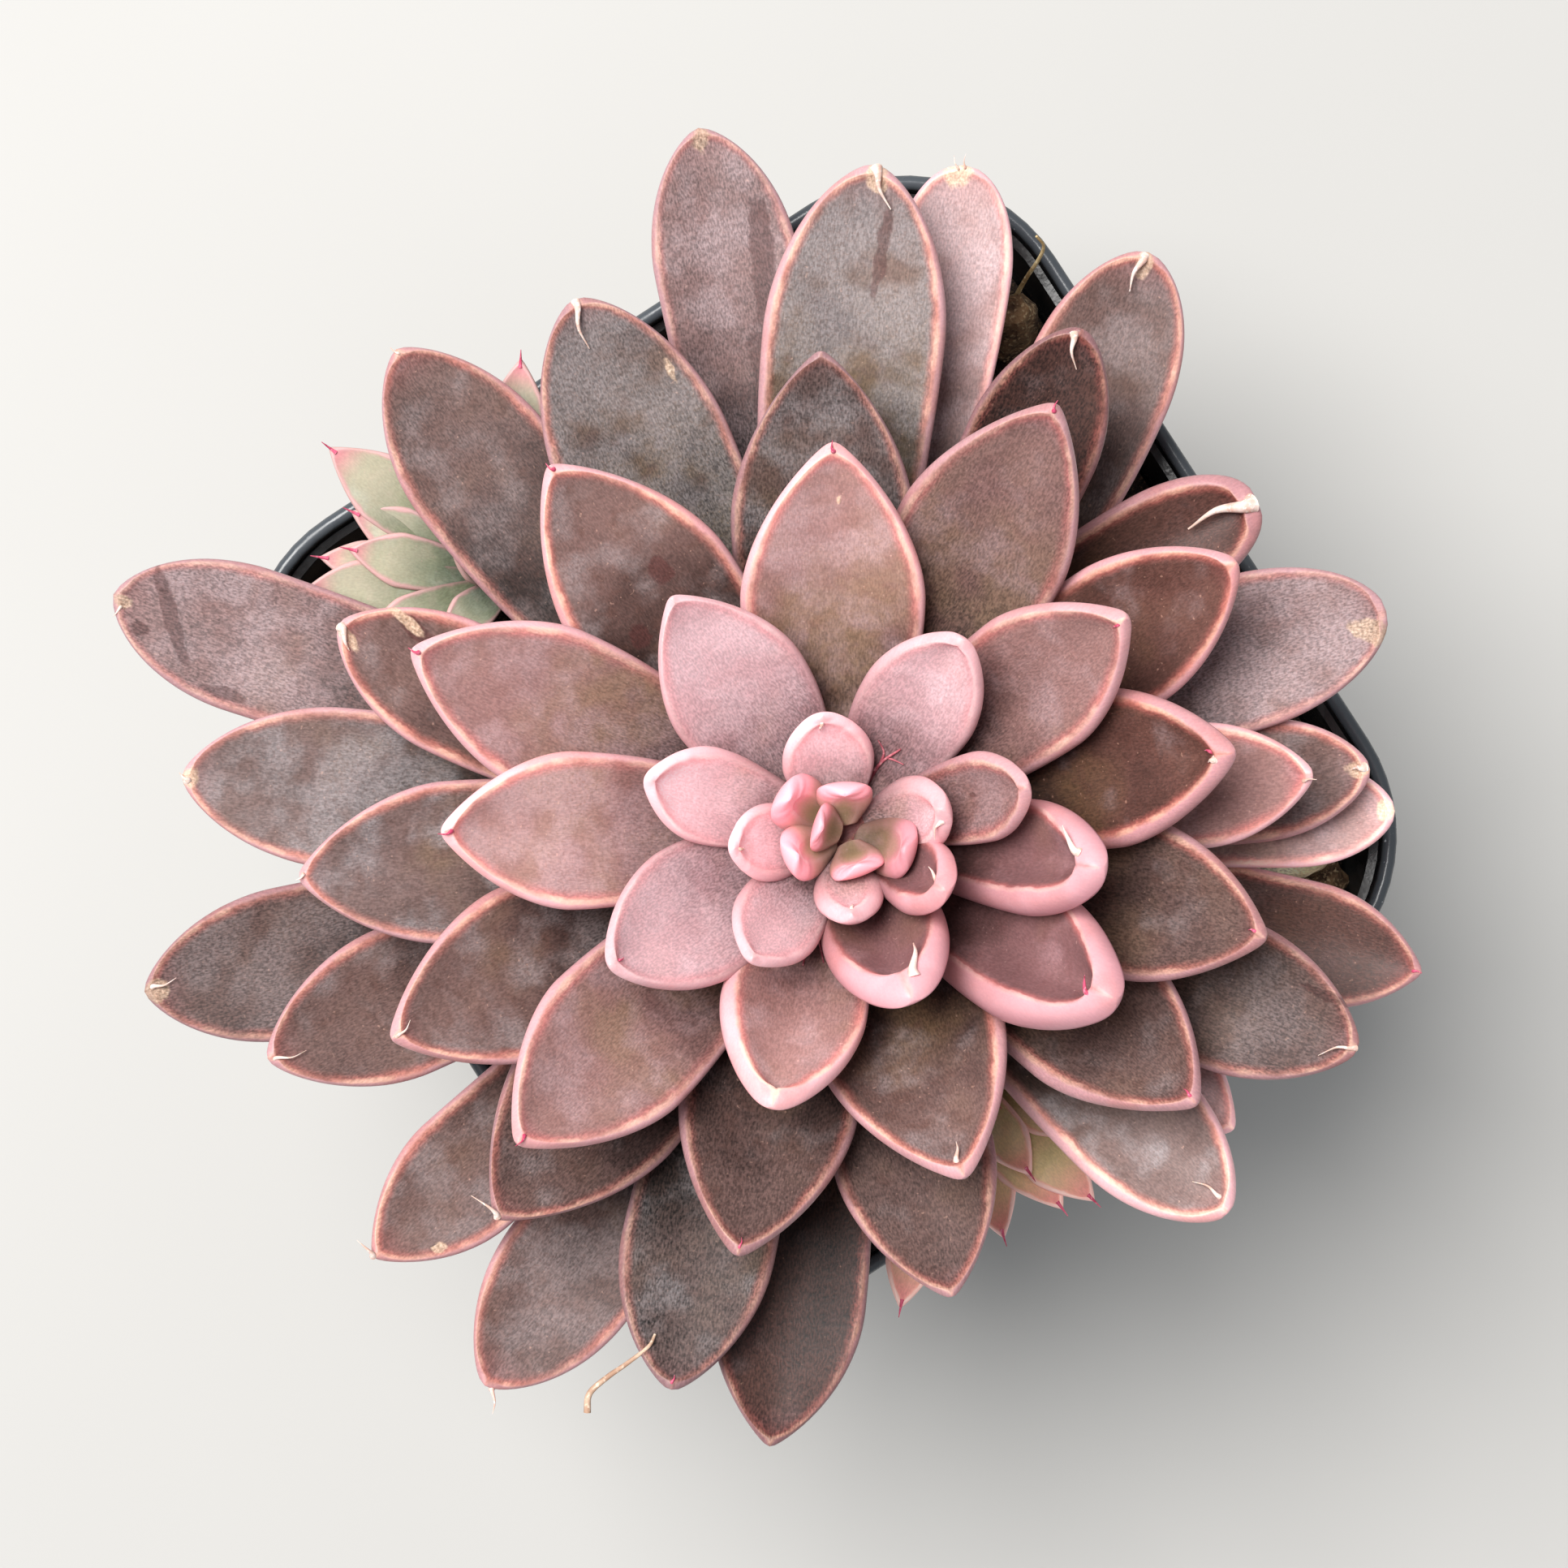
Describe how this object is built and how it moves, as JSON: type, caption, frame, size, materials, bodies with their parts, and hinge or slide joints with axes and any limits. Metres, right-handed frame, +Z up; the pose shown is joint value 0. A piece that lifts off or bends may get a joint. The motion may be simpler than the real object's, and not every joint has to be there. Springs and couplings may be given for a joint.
{
  "type": "potted echeveria",
  "caption": "Echeveria rosette of thick pointed mauve leaves with pink margins, with two small green offsets, in a square black nursery pot filled with potting mix.",
  "frame": {"origin": "middle of the flat underside of the pot", "axes": "+Z up, out of the pot; X and Y along the sides of the square pot"},
  "size_m": [0.1595, 0.1508, 0.1667],
  "materials": {
    "black_plastic": "thin moulded black plastic, worn satin gloss",
    "potting_mix": "dark crumbly peat and grit",
    "dusky_leaf": "fleshy mauve leaf with a powdery bloom and pink margins",
    "young_leaf": "fleshy green leaf with pink edges and magenta tips",
    "dry_brown": "dry fibrous stalk",
    "dry_pale": "shrivelled papery leaf"
  },
  "bodies": {
    "root": {"pot": "black_plastic", "soil": "potting_mix", "rosette": "dusky_leaf", "offset_back": "young_leaf", "offset_front": "young_leaf", "dry_stalk": "dry_brown", "fallen_leaf": "dry_pale"}
  },
  "joints": []
}
